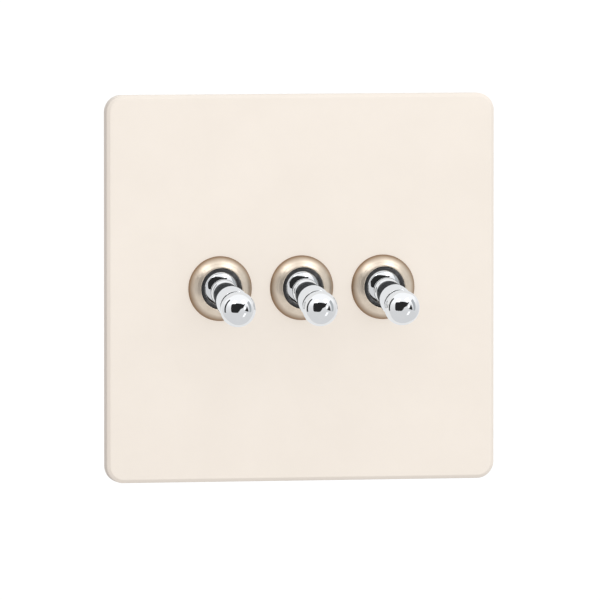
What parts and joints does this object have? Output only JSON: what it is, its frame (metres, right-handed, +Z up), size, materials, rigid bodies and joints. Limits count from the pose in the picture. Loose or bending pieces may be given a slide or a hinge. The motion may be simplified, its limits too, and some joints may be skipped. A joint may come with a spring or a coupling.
{
  "type": "toggle wall switch",
  "caption": "Square screwless wall plate with a row of ball-ended toggle levers in round collars; each lever flips between down and up and rocks a changeover contact in the case behind it.",
  "frame": {"origin": "middle of the plate's outline on the wall plane, where the mounting frame's back rim meets the wall", "axes": "+Y into the wall, -Y towards the user, +Z up, +X to the right as the user sees it"},
  "size_m": [0.088, 0.0492, 0.086],
  "materials": {
    "cream_plate": "satin powder coat",
    "satin_nickel": "satin nickel plate",
    "polished_chrome": "mirror polish",
    "dark_shank": "gloss",
    "black_nylon": "semi-matt",
    "frame_plastic": "matt moulded",
    "white_urea": "moulded",
    "nylon": "natural",
    "brass": "turned",
    "bronze": "rolled strip",
    "zinc_steel": "zinc plated",
    "spring_steel": "drawn wire"
  },
  "bodies": {
    "base": {"front_plate": "cream_plate", "mounting_frame": "frame_plastic", "yoke": "zinc_steel", "fixing_screw_left": "zinc_steel", "fixing_screw_right": "zinc_steel", "earth_screw": "brass", "collar_left": "satin_nickel", "bush_left": "brass", "seat_ring_left": "black_nylon", "hinge_pin_left": "zinc_steel", "housing_left": "white_urea", "terminal_com_left": "brass", "terminal_l1_left": "brass", "terminal_l2_left": "brass", "screw_com_left": "zinc_steel", "screw_l1_left": "zinc_steel", "screw_l2_left": "zinc_steel", "collar_middle": "satin_nickel", "bush_middle": "brass", "seat_ring_middle": "black_nylon", "hinge_pin_middle": "zinc_steel", "housing_middle": "white_urea", "terminal_com_middle": "brass", "terminal_l1_middle": "brass", "terminal_l2_middle": "brass", "screw_com_middle": "zinc_steel", "screw_l1_middle": "zinc_steel", "screw_l2_middle": "zinc_steel", "collar_right": "satin_nickel", "bush_right": "brass", "seat_ring_right": "black_nylon", "hinge_pin_right": "zinc_steel", "housing_right": "white_urea", "terminal_com_right": "brass", "terminal_l1_right": "brass", "terminal_l2_right": "brass", "screw_com_right": "zinc_steel", "screw_l1_right": "zinc_steel", "screw_l2_right": "zinc_steel"},
    "toggle_left": {"pivot_ball_left": "polished_chrome", "shank_left": "dark_shank", "knob_left": "polished_chrome", "tail_left": "nylon", "plunger_spring_left": "spring_steel"},
    "plunger_left": {"plunger_left": "nylon"},
    "rocker_left": {"rocker_left": "bronze"},
    "toggle_middle": {"pivot_ball_middle": "polished_chrome", "shank_middle": "dark_shank", "knob_middle": "polished_chrome", "tail_middle": "nylon", "plunger_spring_middle": "spring_steel"},
    "plunger_middle": {"plunger_middle": "nylon"},
    "rocker_middle": {"rocker_middle": "bronze"},
    "toggle_right": {"pivot_ball_right": "polished_chrome", "shank_right": "dark_shank", "knob_right": "polished_chrome", "tail_right": "nylon", "plunger_spring_right": "spring_steel"},
    "plunger_right": {"plunger_right": "nylon"},
    "rocker_right": {"rocker_right": "bronze"}
  },
  "joints": [
    {"name": "toggle_left", "type": "hinge", "parent": "base", "child": "toggle_left", "pos_m": [-0.0185, -0.0047, 0], "axis": [-1, 0, 0], "range_deg": [0, 22]},
    {"name": "rocker_left", "type": "hinge", "parent": "base", "child": "rocker_left", "pos_m": [-0.0185, 0.014, 0], "axis": [1, 0, 0], "range_deg": [0, 14]},
    {"name": "plunger_left", "type": "slide", "parent": "toggle_left", "child": "plunger_left", "axis": [0, -0.9816, -0.1908], "range_m": [0, 0.00035], "stiffness_N_per_m": 600, "springref_m": -0.001},
    {"name": "toggle_middle", "type": "hinge", "parent": "base", "child": "toggle_middle", "pos_m": [0, -0.0047, 0], "axis": [-1, 0, 0], "range_deg": [0, 22]},
    {"name": "rocker_middle", "type": "hinge", "parent": "base", "child": "rocker_middle", "pos_m": [0, 0.014, 0], "axis": [1, 0, 0], "range_deg": [0, 14]},
    {"name": "plunger_middle", "type": "slide", "parent": "toggle_middle", "child": "plunger_middle", "axis": [0, -0.9816, -0.1908], "range_m": [0, 0.00035], "stiffness_N_per_m": 600, "springref_m": -0.001},
    {"name": "toggle_right", "type": "hinge", "parent": "base", "child": "toggle_right", "pos_m": [0.0185, -0.0047, 0], "axis": [-1, 0, 0], "range_deg": [0, 22]},
    {"name": "rocker_right", "type": "hinge", "parent": "base", "child": "rocker_right", "pos_m": [0.0185, 0.014, 0], "axis": [1, 0, 0], "range_deg": [0, 14]},
    {"name": "plunger_right", "type": "slide", "parent": "toggle_right", "child": "plunger_right", "axis": [0, -0.9816, -0.1908], "range_m": [0, 0.00035], "stiffness_N_per_m": 600, "springref_m": -0.001}
  ],
  "couplings": [
    {"joint": "rocker_left", "follows": "toggle_left", "ratio": 0.63636},
    {"joint": "rocker_middle", "follows": "toggle_middle", "ratio": 0.63636},
    {"joint": "rocker_right", "follows": "toggle_right", "ratio": 0.63636}
  ]
}
